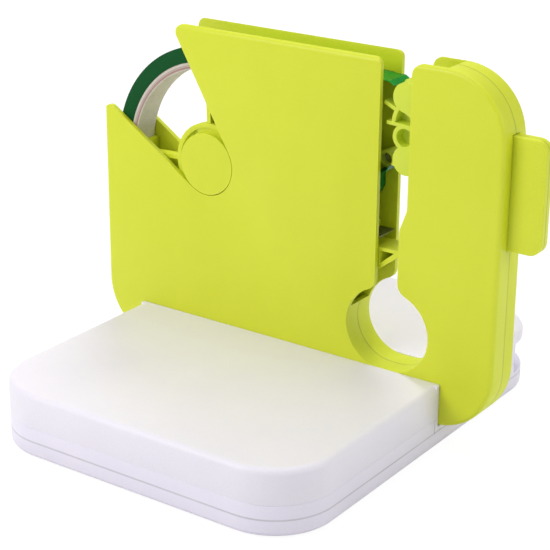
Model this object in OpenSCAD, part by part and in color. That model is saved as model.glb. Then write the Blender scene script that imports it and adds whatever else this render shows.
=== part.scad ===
// Bag neck sealer: a casing of two plastic shells that stands in a flat base. A roll of
// tape drops into the notch at the left, the neck of a bag is drawn down the slot past a
// lobed wheel, and the closed neck ends in the round hole at the foot of the slot.
// Millimetres. X runs to the right, Y to the back, Z up. The origin is on the ground,
// under the middle of the base.

/* [Base] */
// Width of the base, left to right
base_w = 144.5; // [142:0.5:150]
// Depth of the base, front to back
base_d = 185; // [182:1:192]
// Height of the base without its feet
base_h = 26.5; // [26:0.5:30]
// Radius of the upright corners of the base
base_r = 25; // [22:1:28]
// Wall of both base shells
base_wall = 2.2; // [1.8:0.1:2.4]
// Radius of the long edges at the top and the bottom of the base
base_edge_r = 2.5; // [1.5:0.1:3]
// Height of the lower tray, from its underside to the seam
tray_h = 12.7; // [12.2:0.1:13.5]
// How far the feet stand out under the tray
foot_h = 1; // [0.8:0.1:1.6]
// Diameter of a foot
foot_d = 16; // [12:1:18]
// Lower edge of the finger groove round the back of the base
grip_z = 9.5; // [9:0.5:10.5]
// Height of the finger groove
grip_h = 13; // [11:0.5:13.5]
// Depth of the finger groove
grip_depth = 3.6; // [2.5:0.1:3.8]
// Thickness of the steel weight in the base
ballast_t = 6; // [4:0.5:8]

/* [Casing] */
// Left edge of the casing, from the middle of the base
casing_left = 91.5; // [90:0.5:96]
// Right edge of the casing, from the middle of the base
casing_right = 94; // [93.5:0.5:98]
// Height of the casing over the top of the base
casing_rise = 122; // [121:0.5:128]
// Depth to which the casing stands in the base
casing_sink = 17.6; // [17:0.1:18]
// Front face of the casing, behind the middle of the base
casing_front = 5.3; // [0:0.1:10]
// Thickness of the casing over both plates
casing_t = 17; // [17:0.1:18]
// Wall of both casing shells
wall = 2; // [1.6:0.1:2.2]
// Radius of the three large corners of the casing
casing_r = 25; // [22:0.5:25]
// Radius of the edge between a plate and the outer wall
casing_edge_r = 1.8; // [1:0.1:2]
// Radius of the two tips beside the roll notch
tip_r = 3.3; // [2:0.1:4]
// How far the left wall stops below the notch, so that the roll can be gripped
side_drop = 16; // [12:1:24]
// Radius of the top corner left of the slot
left_corner_r = 3; // [1:0.5:4]
// Radius of the top corner right of the slot
right_corner_r = 4.4; // [2:0.2:5]

/* [Slot and hole] */
// Left side of the slot, from the middle of the base
slot_x = 41.9; // [41.5:0.1:42.5]
// Width of the slot beside the wheel
slot_w = 13.2; // [12.6:0.1:13.4]
// Width of the slot below the press
neck_w = 10.1; // [9.8:0.1:10.4]
// Height at which the slot starts to widen
step_z = 83.8; // [83:0.2:84.6]
// Height over which the slot widens
step_h = 11; // [10:0.5:12]
// Radius of the two bends where the slot widens
step_r = 7.5; // [5:0.5:7.5]
// Radius of the ends of the hole
hole_r = 16.5; // [15.5:0.25:16.75]
// Flat stretch between the two ends of the hole
hole_flat = 3.7; // [3:0.1:4.5]
// Height of the hole's centre over the ground
hole_z = 43.7; // [43.5:0.1:45]
// Centre of the hole, right of the slot's left side
hole_shift = 5.85; // [5.5:0.05:6.2]
// Radius where the slot's left side turns into the hole
lip_left_r = 4.4; // [3.5:0.1:5]
// Radius where the slot's right side turns into the hole
lip_right_r = 5.5; // [5:0.1:6]

/* [Roll] */
// Hub axis, left of the middle of the base
hub_left = 38.6; // [37:0.1:40]
// Height of the hub axis over the ground
hub_z = 94.3; // [92:0.1:96]
// Radius of the hub's trunnions
trunnion_r = 12.7; // [12:0.1:13.2]
// Radius of the hub's two flanges
flange_r = 16.4; // [16:0.1:17]
// Thickness of the hub's front flange
flange_t = 3; // [2.6:0.1:3.4]
// Radius of the hub's drum between the flanges
drum_r = 14; // [13.8:0.1:14.2]
// Wall of the hub's drum
drum_wall = 1.8; // [1.4:0.1:2]
// Thickness of a hub spoke
spoke_t = 1.8; // [1.4:0.1:2.4]
// Depth of a hub spoke, front to back
spoke_d = 4; // [3:0.1:8]
// Inner radius of the paper core
core_r = 38.1; // [37.5:0.1:38.5]
// Wall of the paper core
core_wall = 2.9; // [2:0.1:3.2]
// Outer radius of the wound tape
tape_r = 47.2; // [44:0.1:47.4]
// Width of the tape
tape_w = 12; // [11:0.1:12]
// Thickness in which a single layer of tape is drawn
tape_t = 0.3; // [0.2:0.05:0.4]
// Direction of the notch's left edge, from the hub outwards
notch_left_a = 146.4; // [145:0.2:148]
// Direction of the notch's right edge, from the hub outwards
notch_right_a = 120.2; // [119:0.2:121]

/* [Wheel] */
// Wheel axis, from the middle of the base
wheel_x = 61.1; // [60.6:0.1:61.6]
// Height of the wheel axis over the ground
wheel_z = 123.9; // [123.4:0.1:124.4]
// Distance from the wheel axis to the middle of a lobe
lobe_reach = 14.9; // [14.4:0.1:15]
// Radius of a lobe's round end
lobe_r = 5.8; // [5.4:0.1:5.8]
// Direction of the lobe that stands at the upper left
lobe_a = 128.5; // [126:0.5:130]
// Outer radius of the round cell beside each lobe
cell_r = 5; // [4.6:0.1:5.1]
// Radius of the wheel's barrel
barrel_r = 15.8; // [15:0.1:16]
// Wall of the barrel and of the round cells
barrel_wall = 1.6; // [1.2:0.1:1.8]
// Radius of the pins that carry the wheel and the gate
pin_r = 1.5; // [1.3:0.05:1.6]
// Axis of the pinch roller, from the middle of the base
roller_x = 40.8; // [40.6:0.1:41]
// Height of the pinch roller's axis over the ground
roller_z = 109.3; // [109:0.1:109.5]
// Radius of the pinch roller
roller_r = 3.4; // [3.2:0.1:3.5]

/* [Press] */
// Thickness of the push tab
tab_t = 5; // [4:0.1:5.4]
// How far the push tab stands out of the casing
tab_out = 13.5; // [12:0.1:15]
// Lower edge of the push tab over the ground
tab_z = 84.4; // [84.2:0.1:85]
// Height of the push tab
tab_h = 43.3; // [40:0.1:43.5]
// Radius of the push tab's two free corners
tab_r = 5; // [3:0.1:6]
// Stroke of the push tab
press_stroke = 8; // [6:0.1:8.2]
// Height of the stem inside the casing
stem_h = 12; // [10:0.5:12]
// Width of the nose, front to back
nose_w = 10; // [8:0.1:10.4]
// Thickness of the soft pad on the nose
pad_t = 2; // [1.5:0.1:2.4]
// Mean radius of the return spring
spring_r = 2.75; // [2.6:0.05:2.8]
// Radius of the spring wire
wire_r = 0.45; // [0.35:0.05:0.45]
// Curls of the return spring
spring_turns = 9; // [7:1:10]

/* [Gate and knife] */
// Gate pivot, from the middle of the base
gate_x = 20; // [19.6:0.1:20.4]
// Height of the gate pivot over the ground
gate_z = 77; // [76.8:0.1:77.2]
// Top face of the gate's nose over the ground
nose_top = 75.6; // [75.5:0.05:75.7]
// Height of the nose at the slot's left side
nose_deep = 9.6; // [8.5:0.1:10]
// Wall of the gate
gate_wall = 1.4; // [1.2:0.1:1.6]
// Thickness of the knife
knife_t = 0.4; // [0.3:0.05:0.5]
// How far the knife stands out into the slot
knife_out = 0.4; // [0.2:0.1:1]

/* [Fits] */
// Gap between parts that move past each other
move_gap = 0.3; // [0.25:0.05:0.35]
// Gap between parts that are set into each other
set_gap = 0.15; // [0.1:0.05:0.2]
// Radial clearance of a turning bore on its pin
run_gap = 0.05; // [0.03:0.01:0.08]
// Radial clearance of a fixed pin or screw in its hole
hold_gap = 0.02; // [0.01:0.01:0.04]

/* [Hidden] */
$fn = 64;

// Heights that several parts share
top_z = foot_h + base_h;
seam_z = foot_h + tray_h;
floor_z = top_z - casing_sink;
crown_z = top_z + casing_rise;
tray_floor_z = foot_h + base_wall;

// Depths that several parts share
front_y = casing_front;
back_y = casing_front + casing_t;
mid_y = casing_front + casing_t / 2;
in_front_y = front_y + wall;
in_back_y = back_y - wall;
tape_front_y = mid_y - tape_w / 2;
tape_back_y = mid_y + tape_w / 2;

// The slot and the hole under it
slot_right = slot_x + slot_w;
neck_right = slot_x + neck_w;
step_span = [step_h, 2 * step_r - slot_w + neck_w];
step_line_r = step_r - 0.02;
step_a = atan2(step_span[0], step_span[1]) - acos(2 * step_line_r / norm(step_span));
step_low = [neck_right + step_r, step_z];
step_high = [slot_right - step_r, step_z + step_h];
hole_x = slot_x + hole_shift;
hole_left_x = hole_x - hole_flat / 2;
hole_right_x = hole_x + hole_flat / 2;
lip_left_x = slot_x - lip_left_r;
lip_left_z = hole_z + sqrt(pow(hole_r + lip_left_r, 2) - pow(hole_left_x - lip_left_x, 2));
lip_right_x = neck_right + lip_right_r;
lip_right_z = hole_z + sqrt(pow(hole_r + lip_right_r, 2) - pow(lip_right_x - hole_right_x, 2));

// The notch for the roll
hub_x = -hub_left;
seat_r = trunnion_r + move_gap;
function heading(a) = [cos(a), sin(a)];
hub = [hub_x, hub_z];
seat_left = hub + seat_r * heading(notch_left_a + 90);
seat_right = hub + seat_r * heading(notch_right_a - 90);
left_run = (-casing_left - seat_left[0]) / cos(notch_left_a);
right_run = (crown_z - seat_right[1]) / sin(notch_right_a);
left_tip = seat_left + left_run * heading(notch_left_a);
right_tip = seat_right + right_run * heading(notch_right_a);

// The wheel: all that turns stays inside wheel_reach
wheel_side_gap = tape_w / 2;
wheel_reach = lobe_reach + lobe_r + tape_t + set_gap;
wheel_boss_r = 4.5;
wheel_boss_half = tape_w / 2 - 1;
lobes = [lobe_a, lobe_a + 106, lobe_a + 233];
lobe_half_a = 21;
fin_long_a = 26.5;
fin_short_a = 47.5;
cell_a = 71.3;
cell_reach = 10.6;
lip_a = 10;
fin_t = 1.4;
pin_sink = 1.2;

// The press: the slide rests against the casing's right wall
in_right = casing_right - wall;
tab_in = in_right - 1;
stem_z = tab_z + 1.6;
stem_top = stem_z + stem_h;
stop_t = 3;
stop_x = in_right - move_gap - stop_t;
pad_x = slot_right + 0.9;
abut_x = 58;
abut_t = 2;
spring_x0 = abut_x + abut_t + wire_r + set_gap;
spring_x1 = stop_x - wire_r - set_gap;
spring_z = stem_z - spring_r - wire_r - 2.8;
rib_t = 1.7;
band_top = wheel_z - wheel_reach - 1.5;

// The gate and the knife above it
gate_half = casing_t / 2 - wall - 1;
gate_boss_r = 3.8;
knife_z = nose_top + 3.9;
shelf_x0 = 28;
shelf_x1 = 38;
clamp_t = 2.5;
clamp_back = 2.5;
gate_coil_r = 2.7;
gate_wire_r = 0.4;
gate_turns = 3;
gate_leg = 12;
gate_rib_x = gate_x - gate_leg + 1;

// Screws of one size each
screw_r = 1.5;
head_r = 2.9;
head_h = 1.8;
boss_r = 3.4;
foot_screw_r = 1.75;
shell_spots = [[-82, 40], [-30, 28], [16, 40], [18, 128], [82, 40],
               [casing_right - 11, crown_z - 11]];
foot_spots = [[-50, in_front_y + 3], [10, in_front_y + 3],
              [-50, in_back_y - 3], [10, in_back_y - 3]];
base_spot_x = base_w / 2 - 16.25;
base_spot_y = base_d / 2 - 16.5;
foot_in_x = 28.25;
foot_in_y = 30.5;
foot_x = base_w / 2 - foot_in_x;
foot_y = base_d / 2 - foot_in_y;
feet = [[-foot_x, -foot_y], [foot_x, -foot_y], [-foot_x, foot_y], [foot_x, foot_y], [0, 0]];
trough_t = 2;

// ---- drawing helpers ----

// A rectangle of the upright X-Z plane
module pane(x0, x1, z0, z1)
  translate([x0, z0])
    square([x1 - x0, z1 - z0]);

// Draws its children in the upright X-Z plane and gives them depth from y0 to y1
module upright(y0, y1)
  translate([0, y1, 0])
    rotate([90, 0, 0])
      linear_extrude(y1 - y0)
        children();

// A box between two corners
module block(low, high)
  translate(low)
    cube(high - low);

module rod_y(x, z, r, y0, y1)
  translate([x, y0, z])
    rotate([-90, 0, 0])
      cylinder(r = r, h = y1 - y0);

module rod_z(x, y, r, z0, z1)
  translate([x, y, z0])
    cylinder(r = r, h = z1 - z0);

// What a round corner of radius r takes off the square corner at (x, z)
module corner_cut(x, z, side_x, side_z, r)
  difference() {
    translate([side_x > 0 ? x - 1 : x - r, side_z > 0 ? z - 1 : z - r])
      square(r + 1);
    translate([x + side_x * r, z + side_z * r])
      circle(r);
  }

// What a round tip takes off the sharp tip between two edges that leave it at a0 and a1
module tip_cut(tip, a0, a1, r) {
  half = (a1 - a0) / 2;
  centre = tip + r / sin(half) * heading(a0 + half);
  difference() {
    polygon([tip - heading(a0 + half),
             tip + r / tan(half) * heading(a0),
             centre,
             tip + r / tan(half) * heading(a1)]);
    translate(centre)
      circle(r);
  }
}

// Rounded rectangle about the origin of the ground plane
module rounded_rect(w, d, r) {
  square([w - 2 * r, d], center = true);
  square([w, d - 2 * r], center = true);
  for (x = [-1, 1], y = [-1, 1])
    translate([x * (w / 2 - r), y * (d / 2 - r)])
      circle(r);
}

// Half of a slab's section, with round edges below and above
module slab_half(half, z0, z1, low_r, high_r)
  difference() {
    translate([0, z0])
      square([half, z1 - z0]);
    if (low_r > 0)
      corner_cut(half, z0, -1, 1, low_r);
    if (high_r > 0)
      corner_cut(half, z1, -1, -1, high_r);
  }

// A slab about the Z axis with upright corners of radius r and round edges
module soft_slab(w, d, r, z0, z1, low_r, high_r) {
  for (s = [0, 1])
    mirror([s, 0, 0])
      rotate([90, 0, 0])
        linear_extrude(d - 2 * r, center = true)
          slab_half(w / 2, z0, z1, low_r, high_r);
  for (s = [0, 1])
    mirror([0, s, 0])
      rotate([90, 0, 90])
        linear_extrude(w - 2 * r, center = true)
          slab_half(d / 2, z0, z1, low_r, high_r);
  for (k = [0:3])
    translate([(k == 0 || k == 3 ? 1 : -1) * (w / 2 - r), (k < 2 ? 1 : -1) * (d / 2 - r), 0])
      rotate(90 * k)
        rotate_extrude(angle = 90)
          slab_half(r, z0, z1, low_r, high_r);
}

// A closed tube of radius r along points, turned by the unit vectors in sides_to
module tube(points, sides_to, r) {
  sides = 6;
  last = len(points) - 1;
  ahead = [for (i = [0:last]) points[min(i + 1, last)] - points[max(i - 1, 0)]];
  rings = [for (i = [0:last])
             let (n = sides_to[i], b = cross(ahead[i] / norm(ahead[i]), n))
             for (k = [0:sides - 1])
               points[i] + r * (cos(360 * k / sides) * n + sin(360 * k / sides) * b)];
  walls = [for (i = [0:last - 1], k = [0:sides - 1])
             let (a = i * sides + k, b = i * sides + (k + 1) % sides)
             each [[a, a + sides, b], [b, a + sides, b + sides]]];
  start_cap = [for (k = [1:sides - 2]) [0, k, k + 1]];
  end_cap = [for (k = [1:sides - 2])
               [last * sides, last * sides + k + 1, last * sides + k]];
  polyhedron(rings, concat(walls, start_cap, end_cap));
}

// Least distance between stretches of a coil that lie more than half a curl apart
function least_gap(points, r, half_curl) =
  min([for (i = [0:len(points) - 1], k = [0:len(points) - 1])
         if (k - i > half_curl) norm(points[i] - points[k])]) - 2 * r;

// ---- the casing's outline ----

// The casing's block with its three large corners, drawn in by inset
module casing_block(inset = 0) {
  left = -casing_left + inset;
  right = casing_right - inset;
  low = floor_z + inset;
  high = crown_z - inset;
  r = casing_r - inset;
  difference() {
    pane(left, right, low, high);
    corner_cut(left, low, 1, 1, r);
    corner_cut(right, low, -1, 1, r);
    corner_cut(right, high, -1, -1, r);
  }
}

// The notch that the hub drops into, with its round seat
module notch_void() {
  far = 140;
  translate(hub)
    circle(seat_r);
  polygon([seat_left,
           seat_left + far * heading(notch_left_a),
           seat_right + far * heading(notch_right_a),
           seat_right]);
}

// The slot from where it starts to widen up to the top, grown by g. Its straight slant
// runs a hair inside both bends, so that they meet it at a clear angle.
module slot_void(g) {
  low_r = step_r - g;
  high_r = step_r + g;
  low_rise = (step_line_r - g - low_r * cos(step_a)) / sin(step_a);
  high_drop = (step_line_r + g - high_r * cos(step_a)) / sin(step_a);
  difference() {
    polygon([[slot_x - g, step_z], [neck_right + g, step_z], step_low + [-low_r, low_rise],
             step_high + [high_r, -high_drop], [slot_right + g, crown_z + 5],
             [slot_x - g, crown_z + 5]]);
    difference() {
      polygon([step_high, step_high + (high_r + 2) * heading(-step_a),
               step_high + [high_r + 2, 0]]);
      translate(step_high)
        circle(high_r);
    }
  }
  difference() {
    polygon([step_low, step_low + (low_r + 1) * heading(180 - step_a),
             step_low - [low_r + 1, 0]]);
    translate(step_low)
      circle(low_r);
  }
}

// The slot, its narrow neck and the hole, grown by g
module neck_void(g = 0) {
  pane(slot_x - g, neck_right + g, hole_z, step_z + 0.01);
  slot_void(g);
  pane(hole_left_x, hole_right_x, hole_z - hole_r - g, hole_z + hole_r + g);
  for (x = [hole_left_x, hole_right_x])
    translate([x, hole_z])
      circle(hole_r + g);
  difference() {
    polygon([[slot_x, lip_left_z], [lip_left_x, lip_left_z], [hole_left_x, hole_z]]);
    translate([lip_left_x, lip_left_z])
      circle(lip_left_r - g);
  }
  difference() {
    polygon([[neck_right, lip_right_z], [lip_right_x, lip_right_z], [hole_right_x, hole_z]]);
    translate([lip_right_x, lip_right_z])
      circle(lip_right_r - g);
  }
}

// All that is cut through both plates
module plate_cuts() {
  notch_void();
  neck_void();
  tip_cut(left_tip, -90, notch_left_a - 180, tip_r);
  tip_cut(right_tip, notch_right_a - 180, 0, tip_r);
  corner_cut(slot_x, crown_z, -1, -1, left_corner_r);
  corner_cut(slot_right, crown_z, 1, -1, right_corner_r);
}

// The tunnel wall round the hole and up the right side of the slot, open to the gate
module tunnel_outline()
  intersection() {
    neck_void(wall);
    union() {
      pane(hole_x - 30, hole_x, hole_z - 30, hole_z + hole_r / 3);
      pane(hole_x - 1, hole_x + 30, hole_z - 30, band_top);
    }
  }

// The room between the plates. It is open at the top over the roll and the wheel, and at
// the left beside the roll
module hollow_outline()
  difference() {
    union() {
      casing_block(wall);
      pane(-casing_left + wall, casing_right - casing_r, crown_z - casing_r, crown_z + 1);
      pane(-casing_left - 1, -casing_left + wall + 1, left_tip[1] - side_drop, crown_z);
    }
    tunnel_outline();
  }

// The whole casing as a solid slab with its outer edges rounded
module casing_slab()
  translate([(casing_right - casing_left) / 2, mid_y, (floor_z + crown_z) / 2])
    rotate([90, 0, 0])
      soft_slab(casing_left + casing_right, crown_z - floor_z, casing_r,
                -casing_t / 2, casing_t / 2, casing_edge_r, casing_edge_r);

// One shell of the casing: the slab without its other half, its room and its openings
module casing_half(other_y0, other_y1, room_y0, room_y1)
  difference() {
    casing_slab();
    block([-casing_left - 1, other_y0, floor_z - 1], [casing_right + 1, other_y1, crown_z + 1]);
    upright(room_y0, room_y1)
      hollow_outline();
    upright(front_y - 1, back_y + 1)
      plate_cuts();
  }

// Openings of the press in the right wall and in the slot wall
module press_windows() {
  block([in_right - 1, mid_y - tab_t / 2 - move_gap, tab_z - move_gap],
        [casing_right + 1, mid_y + tab_t / 2 + move_gap, tab_z + tab_h + move_gap]);
  block([neck_right - 1, mid_y - nose_w / 2 - move_gap, stem_z - move_gap],
        [slot_right + wall + 1, mid_y + nose_w / 2 + move_gap, stem_top + move_gap]);
}

// Blind holes for the ends of the pins, in the plate next to y
module pin_holes(y0, y1, with_roller) {
  rod_y(wheel_x, wheel_z, pin_r + hold_gap, y0, y1);
  rod_y(gate_x, gate_z, pin_r + hold_gap, y0, y1);
  if (with_roller)
    rod_y(roller_x, roller_z, roller_post_r + hold_gap, y0, y1);
}

module front_shell()
  color("yellowgreen")
    difference() {
      union() {
        casing_half(mid_y, back_y + 1, in_front_y, mid_y + 1);
        for (s = shell_spots)
          rod_y(s[0], s[1], boss_r, front_y + wall / 2, mid_y);
        for (s = foot_spots)
          if (s[1] < mid_y)
            rod_z(s[0], s[1], foot_boss_r, floor_z + wall / 2, floor_z + foot_boss_h);
      }
      press_windows();
      pin_holes(in_front_y - pin_sink, in_front_y + 1, false);
      for (s = shell_spots)
        rod_y(s[0], s[1], screw_r + hold_gap, in_front_y + 0.8, mid_y + 1);
      for (s = foot_spots)
        if (s[1] < mid_y)
          rod_z(s[0], s[1], foot_screw_r + hold_gap, floor_z - 1, floor_z + foot_boss_h - 1);
    }

module rear_shell()
  color("yellowgreen")
    difference() {
      union() {
        casing_half(front_y - 1, mid_y, mid_y - 1, in_back_y);
        for (s = shell_spots)
          rod_y(s[0], s[1], boss_r + 0.2, mid_y, back_y - wall / 2);
        for (s = foot_spots)
          if (s[1] > mid_y)
            rod_z(s[0], s[1], foot_boss_r, floor_z + wall / 2, floor_z + foot_boss_h);
        knife_shelf();
        spring_abutment();
        slide_ribs();
        gate_spring_rib();
      }
      press_windows();
      pin_holes(in_back_y - 1, in_back_y + pin_sink, true);
      for (s = shell_spots) {
        rod_y(s[0], s[1], screw_r + 0.2, mid_y - 1, back_y + 1);
        rod_y(s[0], s[1], head_r + 0.2, back_y - head_h - 0.8, back_y + 1);
      }
      for (s = foot_spots)
        if (s[1] > mid_y)
          rod_z(s[0], s[1], foot_screw_r + hold_gap, floor_z - 1, floor_z + foot_boss_h - 1);
      for (y = knife_screw_y)
        rod_z(knife_screw_x, y, knife_screw_r + hold_gap, knife_z - 4, knife_z + 1);
    }

// Sizes of the bosses in the casing's foot
foot_boss_r = 2.9;
foot_boss_h = 12;

// The shelf under the knife
module knife_shelf()
  block([shelf_x0, mid_y - gate_half, knife_z - rib_t + 0.3],
        [shelf_x1, in_back_y + 0.5, knife_z]);

// The rib and spigot that the return spring starts from
module spring_abutment() {
  block([abut_x, mid_y - gate_half, spring_z - spring_r - wire_r - 1],
        [abut_x + abut_t, in_back_y + 0.5, stem_z - move_gap - 0.2]);
  translate([abut_x + abut_t - 0.5, mid_y, spring_z])
    rotate([0, 90, 0])
      cylinder(r = spring_r - wire_r - move_gap, h = 4.5);
}

// The two ribs between which the stem slides
module slide_ribs() {
  block([abut_x + abut_t - 0.5, in_back_y - 4, stem_z - move_gap - rib_t],
        [stop_x - press_stroke - move_gap - 0.4, in_back_y + 0.5, stem_z - move_gap]);
  block([abut_x + abut_t - 0.5, mid_y - gate_half, stem_top + move_gap],
        [stop_x - press_stroke - move_gap - 0.4, in_back_y + 0.5, stem_top + move_gap + rib_t]);
}

// The rib that holds down the rear leg of the gate's spring
module gate_spring_rib()
  block([gate_rib_x, mid_y, gate_z - gate_coil_r + gate_wire_r + set_gap],
        [gate_rib_x + 3, in_back_y + 0.5, gate_z - gate_coil_r + gate_wire_r + set_gap + rib_t]);

module shell_screws()
  color("silver")
    for (s = shell_spots) {
      rod_y(s[0], s[1], head_r, back_y - head_h - 0.7, back_y - 0.7);
      rod_y(s[0], s[1], screw_r, in_front_y + 1, back_y - head_h - 0.6);
    }

module casing_screws()
  color("silver")
    for (s = foot_spots) {
      rod_z(s[0], s[1], head_r, floor_z - trough_t - head_h - 0.1, floor_z - trough_t - 0.1);
      rod_z(s[0], s[1], foot_screw_r, floor_z - trough_t - 0.2, floor_z + foot_boss_h - 1.5);
    }

// ---- the base ----

// The finger groove round the back, grown by g
module grip_void(g = 0)
  translate([0, 0, grip_z - g])
    linear_extrude(grip_h + 2 * g)
      difference() {
        translate([-base_w / 2 - 5, base_d / 2 - base_r - g])
          square([base_w + 10, base_r + g + 5]);
        rounded_rect(base_w - 2 * (grip_depth + g), base_d - 2 * (grip_depth + g),
                     base_r - grip_depth - g);
      }

// The hollow of both base shells
module base_hollow(z0, z1)
  difference() {
    translate([0, 0, z0])
      linear_extrude(z1 - z0)
        rounded_rect(base_w - 2 * base_wall, base_d - 2 * base_wall, base_r - base_wall);
    grip_void(base_wall);
  }

// The block of the trough across the base, grown by g
module trough_block(g = 0)
  block([-base_w / 2 - g, front_y - set_gap - trough_t - g, floor_z - trough_t - g],
        [base_w / 2 + g, back_y + set_gap + trough_t + g, top_z]);

module base_top()
  color("whitesmoke")
    difference() {
      union() {
        difference() {
          soft_slab(base_w, base_d, base_r, seam_z, top_z, 0, base_edge_r);
          base_hollow(seam_z - 1, top_z - base_wall);
        }
        trough_block();
        for (x = [-1, 1], y = [-1, 1])
          rod_z(x * base_spot_x, y * base_spot_y, boss_r, seam_z, top_z - base_wall / 2);
      }
      block([-base_w, front_y - set_gap, floor_z], [base_w, back_y + set_gap, top_z + 1]);
      grip_void();
      for (x = [-1, 1], y = [-1, 1])
        rod_z(x * base_spot_x, y * base_spot_y, screw_r + hold_gap, seam_z - 1,
              top_z - base_wall - 1);
      for (s = foot_spots)
        rod_z(s[0], s[1], foot_screw_r + 0.2, floor_z - trough_t - 1, floor_z + 1);
    }

module base_tray()
  color("white")
    difference() {
      union() {
        difference() {
          soft_slab(base_w, base_d, base_r, foot_h, seam_z, base_edge_r, 0);
          base_hollow(tray_floor_z, seam_z + 1);
          trough_block(set_gap);
        }
        for (x = [-1, 1], y = [-1, 1])
          rod_z(x * base_spot_x, y * base_spot_y, boss_r + 0.6, foot_h + base_wall / 2, seam_z);
        for (x = [-1, 1])
          rod_z(x * ballast_peg_x, ballast_y, ballast_peg_r, foot_h + base_wall / 2,
                tray_floor_z + ballast_t + 1);
      }
      grip_void();
      for (x = [-1, 1], y = [-1, 1]) {
        rod_z(x * base_spot_x, y * base_spot_y, screw_r + 0.2, 0, seam_z + 1);
        rod_z(x * base_spot_x, y * base_spot_y, head_r + 0.2, 0, base_head_z + 0.1);
      }
      for (s = feet)
        rod_z(s[0], s[1], foot_d / 2 + set_gap, 0, foot_h + foot_seat);
    }

// The recess of a foot, the height of a base screw's head and the weight's size and place
foot_seat = 1;
base_head_z = foot_h + 4;
ballast_y = -base_d / 4;
ballast_side = 24.25;
ballast_end = 13.25;
ballast_w = base_w - 2 * ballast_side;
ballast_d = base_d / 2 - 2 * ballast_end;
ballast_peg_in = 14;
ballast_peg_x = ballast_w / 2 - ballast_peg_in;
ballast_peg_r = 3;

module base_screws()
  color("silver")
    for (x = [-1, 1], y = [-1, 1]) {
      rod_z(x * base_spot_x, y * base_spot_y, head_r, base_head_z - head_h, base_head_z);
      rod_z(x * base_spot_x, y * base_spot_y, screw_r, base_head_z - 0.1, top_z - base_wall - 2);
    }

module ballast_plate()
  color("dimgray")
    difference() {
      block([-ballast_w / 2, ballast_y - ballast_d / 2, tray_floor_z],
            [ballast_w / 2, ballast_y + ballast_d / 2, tray_floor_z + ballast_t]);
      for (x = [-1, 1])
        rod_z(x * ballast_peg_x, ballast_y, ballast_peg_r + set_gap, 0, top_z);
    }

module rubber_feet()
  color("gray")
    for (s = feet)
      rod_z(s[0], s[1], foot_d / 2, 0, foot_h + foot_seat);

// ---- the roll ----

hub_front_y = in_front_y + move_gap;
hub_back_y = in_back_y - move_gap;
cap_t = 2;
rim_t = 2;
groove_step = 0.5;
groove_deep = 2.2;
groove_ledge = 0.15;
groove_half_a = 60;
drum_floor_y = hub_front_y + groove_deep + drum_wall;
shoe_t = 1.8;
shoe_r = core_r - set_gap;
shoe_half_a = 6;
lead_half_a = 22;
spoke_y = tape_front_y + 0.5;
spokes = [92.5, 182.5, 272.5, 2.5];

// A piece of a ring about the hub, from radius r0 to r1 and half_a degrees either side of a
module ring_piece(r0, r1, a, half_a)
  intersection() {
    difference() {
      circle(r1);
      circle(r0);
    }
    polygon([[0, 0], 2 * r1 * heading(a - half_a), 2 * r1 * heading(a),
             2 * r1 * heading(a + half_a)]);
  }

// The groove round the front trunnion: shallow all the way, deep along two arcs
module hub_groove() {
  inner_r = trunnion_r + 0.2;
  outer_r = flange_r - rim_t;
  upright(hub_front_y - 1, hub_front_y + groove_step)
    translate(hub)
      difference() {
        circle(outer_r);
        circle(inner_r);
      }
  upright(hub_front_y, hub_front_y + groove_deep)
    translate(hub)
      for (a = [178, 358])
        ring_piece(inner_r + groove_ledge, outer_r - groove_ledge, a, groove_half_a);
}

module tape_hub()
  color("yellowgreen") {
    difference() {
      union() {
        rod_y(hub_x, hub_z, flange_r, hub_front_y, hub_front_y + flange_t);
        rod_y(hub_x, hub_z, drum_r, hub_front_y + 1, hub_back_y - cap_t);
        upright(spoke_y, spoke_y + spoke_d)
          translate(hub)
            for (a = spokes)
              rotate(a)
                translate([drum_r - drum_wall / 2, -spoke_t / 2])
                  square([shoe_r - shoe_t / 2 - drum_r + drum_wall / 2, spoke_t]);
        upright(tape_front_y, tape_back_y)
          translate(hub)
            for (a = spokes)
              ring_piece(shoe_r - shoe_t, shoe_r, a, shoe_half_a);
      }
      rod_y(hub_x, hub_z, drum_r - drum_wall, drum_floor_y, in_back_y);
      rod_y(hub_x, hub_z, flange_r + set_gap, hub_back_y - cap_t, in_back_y);
      hub_groove();
    }
    rod_y(hub_x, hub_z, trunnion_r, front_y, hub_front_y + 1);
  }

module hub_cap()
  color("yellowgreen") {
    rod_y(hub_x, hub_z, trunnion_r, hub_back_y - 0.5, back_y);
    rod_y(hub_x, hub_z, flange_r, hub_back_y - cap_t, hub_back_y);
    difference() {
      rod_y(hub_x, hub_z, drum_r - drum_wall - hold_gap, hub_back_y - cap_t - 3,
            hub_back_y - cap_t / 2);
      rod_y(hub_x, hub_z, drum_r - 2 * drum_wall, hub_back_y - cap_t - 4, hub_back_y - cap_t);
    }
  }

// A ring about the hub as wide as the tape
module roll_ring(r0, r1)
  difference() {
    rod_y(hub_x, hub_z, r1, tape_front_y, tape_back_y);
    rod_y(hub_x, hub_z, r0, tape_front_y - 1, tape_back_y + 1);
  }

module tape_core()
  color("tan")
    roll_ring(core_r, core_r + core_wall);

module tape_roll()
  color("darkgreen")
    roll_ring(core_r + core_wall + hold_gap, tape_r);

// A strip of tape along points of the X-Z plane, as thick as the tape, on their upper side
module strip(points) {
  last = len(points) - 1;
  ahead = [for (i = [0:last]) points[min(i + 1, last)] - points[max(i - 1, 0)]];
  upper = [for (i = [0:last])
             points[i] + tape_t / norm(ahead[i]) * [-ahead[i][1], ahead[i][0]]];
  upright(tape_front_y + 0.1, tape_back_y - 0.1)
    polygon(concat(points, [for (i = [last:-1:0]) upper[i]]));
}

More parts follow.
